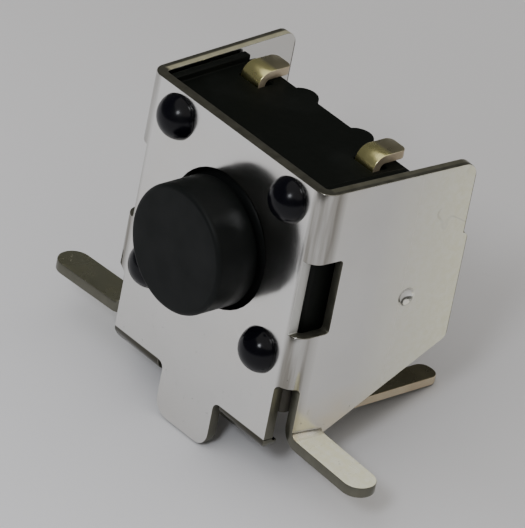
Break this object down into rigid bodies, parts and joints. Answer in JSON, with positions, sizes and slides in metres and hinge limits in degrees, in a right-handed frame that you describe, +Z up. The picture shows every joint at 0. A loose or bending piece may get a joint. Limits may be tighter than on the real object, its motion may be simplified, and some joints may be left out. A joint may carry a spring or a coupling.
{
  "type": "tactile push button switch",
  "caption": "Side-pressed tactile push button: folded sheet bracket with bent legs and board tab, moulded housing, round stem on a snap dome.",
  "frame": {"origin": "centre of the bracket's width, on the board surface under the front face of the bracket", "axes": "+Z up from the board, -Y the way the stem points, towards the finger, and +X to the right of someone who faces the stem"},
  "size_m": [0.0122, 0.0078, 0.0089],
  "materials": {
    "bracket_sheet": "tin plated sheet, satin, dull grey cut edges",
    "housing_plastic": "moulded black, matt with glossy riveted heads",
    "stem_plastic": "moulded black, satin",
    "dome_steel": "thin spring steel, bright",
    "contact_brass": "plated brass, tarnished"
  },
  "bodies": {
    "base": {"bracket": "bracket_sheet", "housing": "housing_plastic", "dome": "dome_steel", "rim_contact": "contact_brass", "centre_contact": "contact_brass"},
    "button": {"plunger": "stem_plastic"}
  },
  "joints": [
    {"name": "press", "type": "slide", "parent": "base", "child": "button", "axis": [0, 1, 0], "range_m": [0, 0.00025], "stiffness_N_per_m": 2000, "springref_m": -0.0002, "deforming": ["dome"]}
  ]
}
